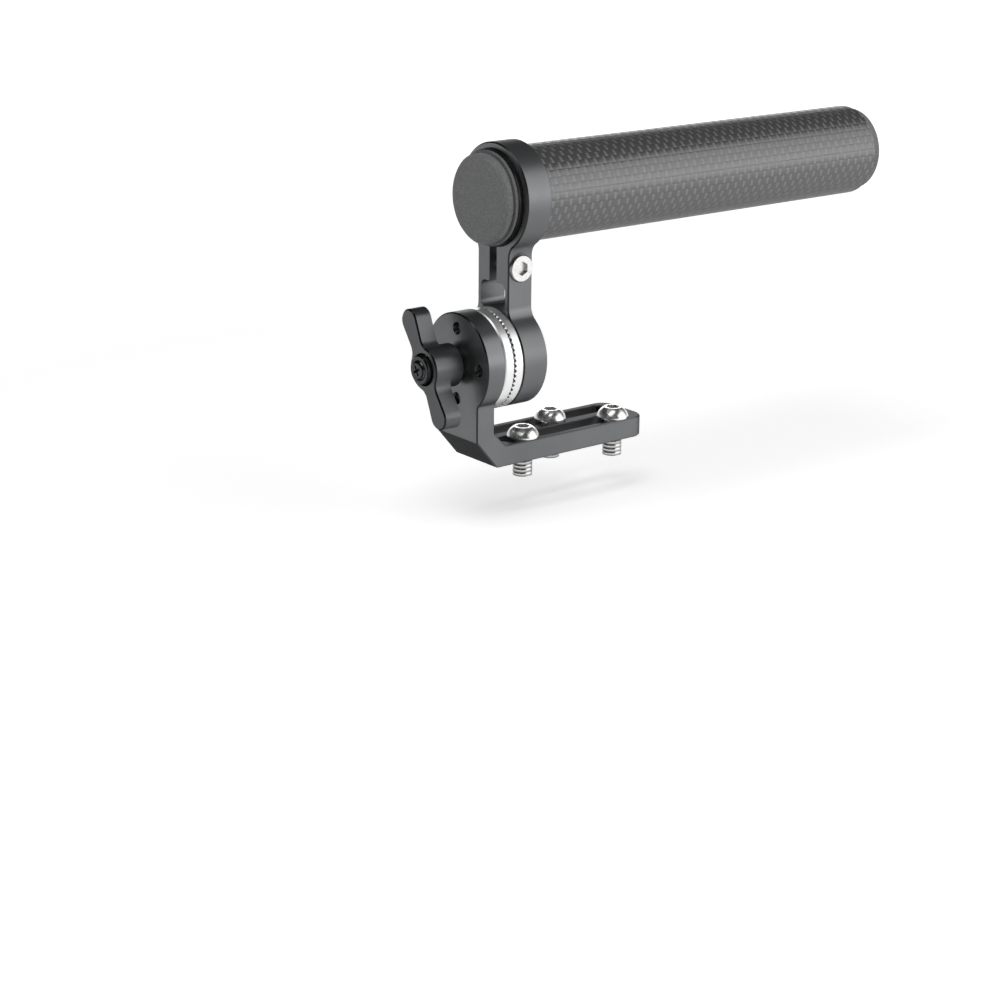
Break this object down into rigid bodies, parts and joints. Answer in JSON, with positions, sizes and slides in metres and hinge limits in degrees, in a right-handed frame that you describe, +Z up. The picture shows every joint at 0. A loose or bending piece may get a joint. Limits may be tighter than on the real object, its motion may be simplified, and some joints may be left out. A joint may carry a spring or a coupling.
{
  "type": "camera top handle",
  "caption": "Cylindrical carbon-fibre camera top handle on a tilting rosette arm with a ratchet clamp lever and a slotted L-shaped mounting bracket.",
  "frame": {"origin": "on the plane of the bracket's underside, in the middle of its width and midway along its slots", "axes": "+X along the grip tube from the clamp end to the free end, +Y across the bracket to the back, +Z up, away from the mounting face"},
  "size_m": [0.1874, 0.034, 0.1063],
  "materials": {
    "black_anodised": "satin black anodised",
    "black_anodised_arm": "satin black anodised",
    "bright_steel": "bright fine turned",
    "polished_steel": "polished",
    "black_steel": "black oxide",
    "washer_steel": "black oxide",
    "carbon_fibre": "satin woven carbon fibre in resin",
    "cap_rubber": "matte fine grained",
    "lever_black": "satin black",
    "spring_steel": "plain wire"
  },
  "bodies": {
    "bracket": {"bracket": "black_anodised", "rosette_fixed": "bright_steel", "rosette_screws_fixed": "black_steel", "base_screws": "polished_steel"},
    "washer": {"thrust_washer": "washer_steel"},
    "arm": {"arm": "black_anodised_arm", "rosette_moving": "bright_steel", "rosette_screws_moving": "black_steel", "clamp_screw": "polished_steel"},
    "grip": {"grip_tube": "carbon_fibre", "end_cap": "cap_rubber", "clamp_cap": "cap_rubber"},
    "bolt": {"clamp_bolt": "black_steel", "spring_keeper": "black_steel", "cross_screw": "black_steel", "lever_spring": "spring_steel"},
    "lever": {"lever": "lever_black"}
  },
  "joints": [
    {"name": "rosette_engage", "type": "slide", "parent": "bracket", "child": "washer", "axis": [1, 0, 0], "range_m": [-0.0006, 0]},
    {"name": "arm_tilt", "type": "hinge", "parent": "washer", "child": "arm", "pos_m": [-0.0398, 0, 0.033], "axis": [1, 0, 0], "range_deg": [-132, 132]},
    {"name": "tube_slide", "type": "slide", "parent": "arm", "child": "grip", "axis": [1, 0, 0], "range_m": [-0.144, 0.0015]},
    {"name": "lever_turn", "type": "hinge", "parent": "washer", "child": "bolt", "pos_m": [-0.0398, 0, 0.033], "axis": [1, 0, 0], "range_deg": [0, 216]},
    {"name": "lever_lift", "type": "slide", "parent": "bolt", "child": "lever", "axis": [1, 0, 0], "range_m": [-0.003, 0], "stiffness_N_per_m": 900, "springref_m": 0.0015, "deforming": ["lever_spring"]}
  ]
}
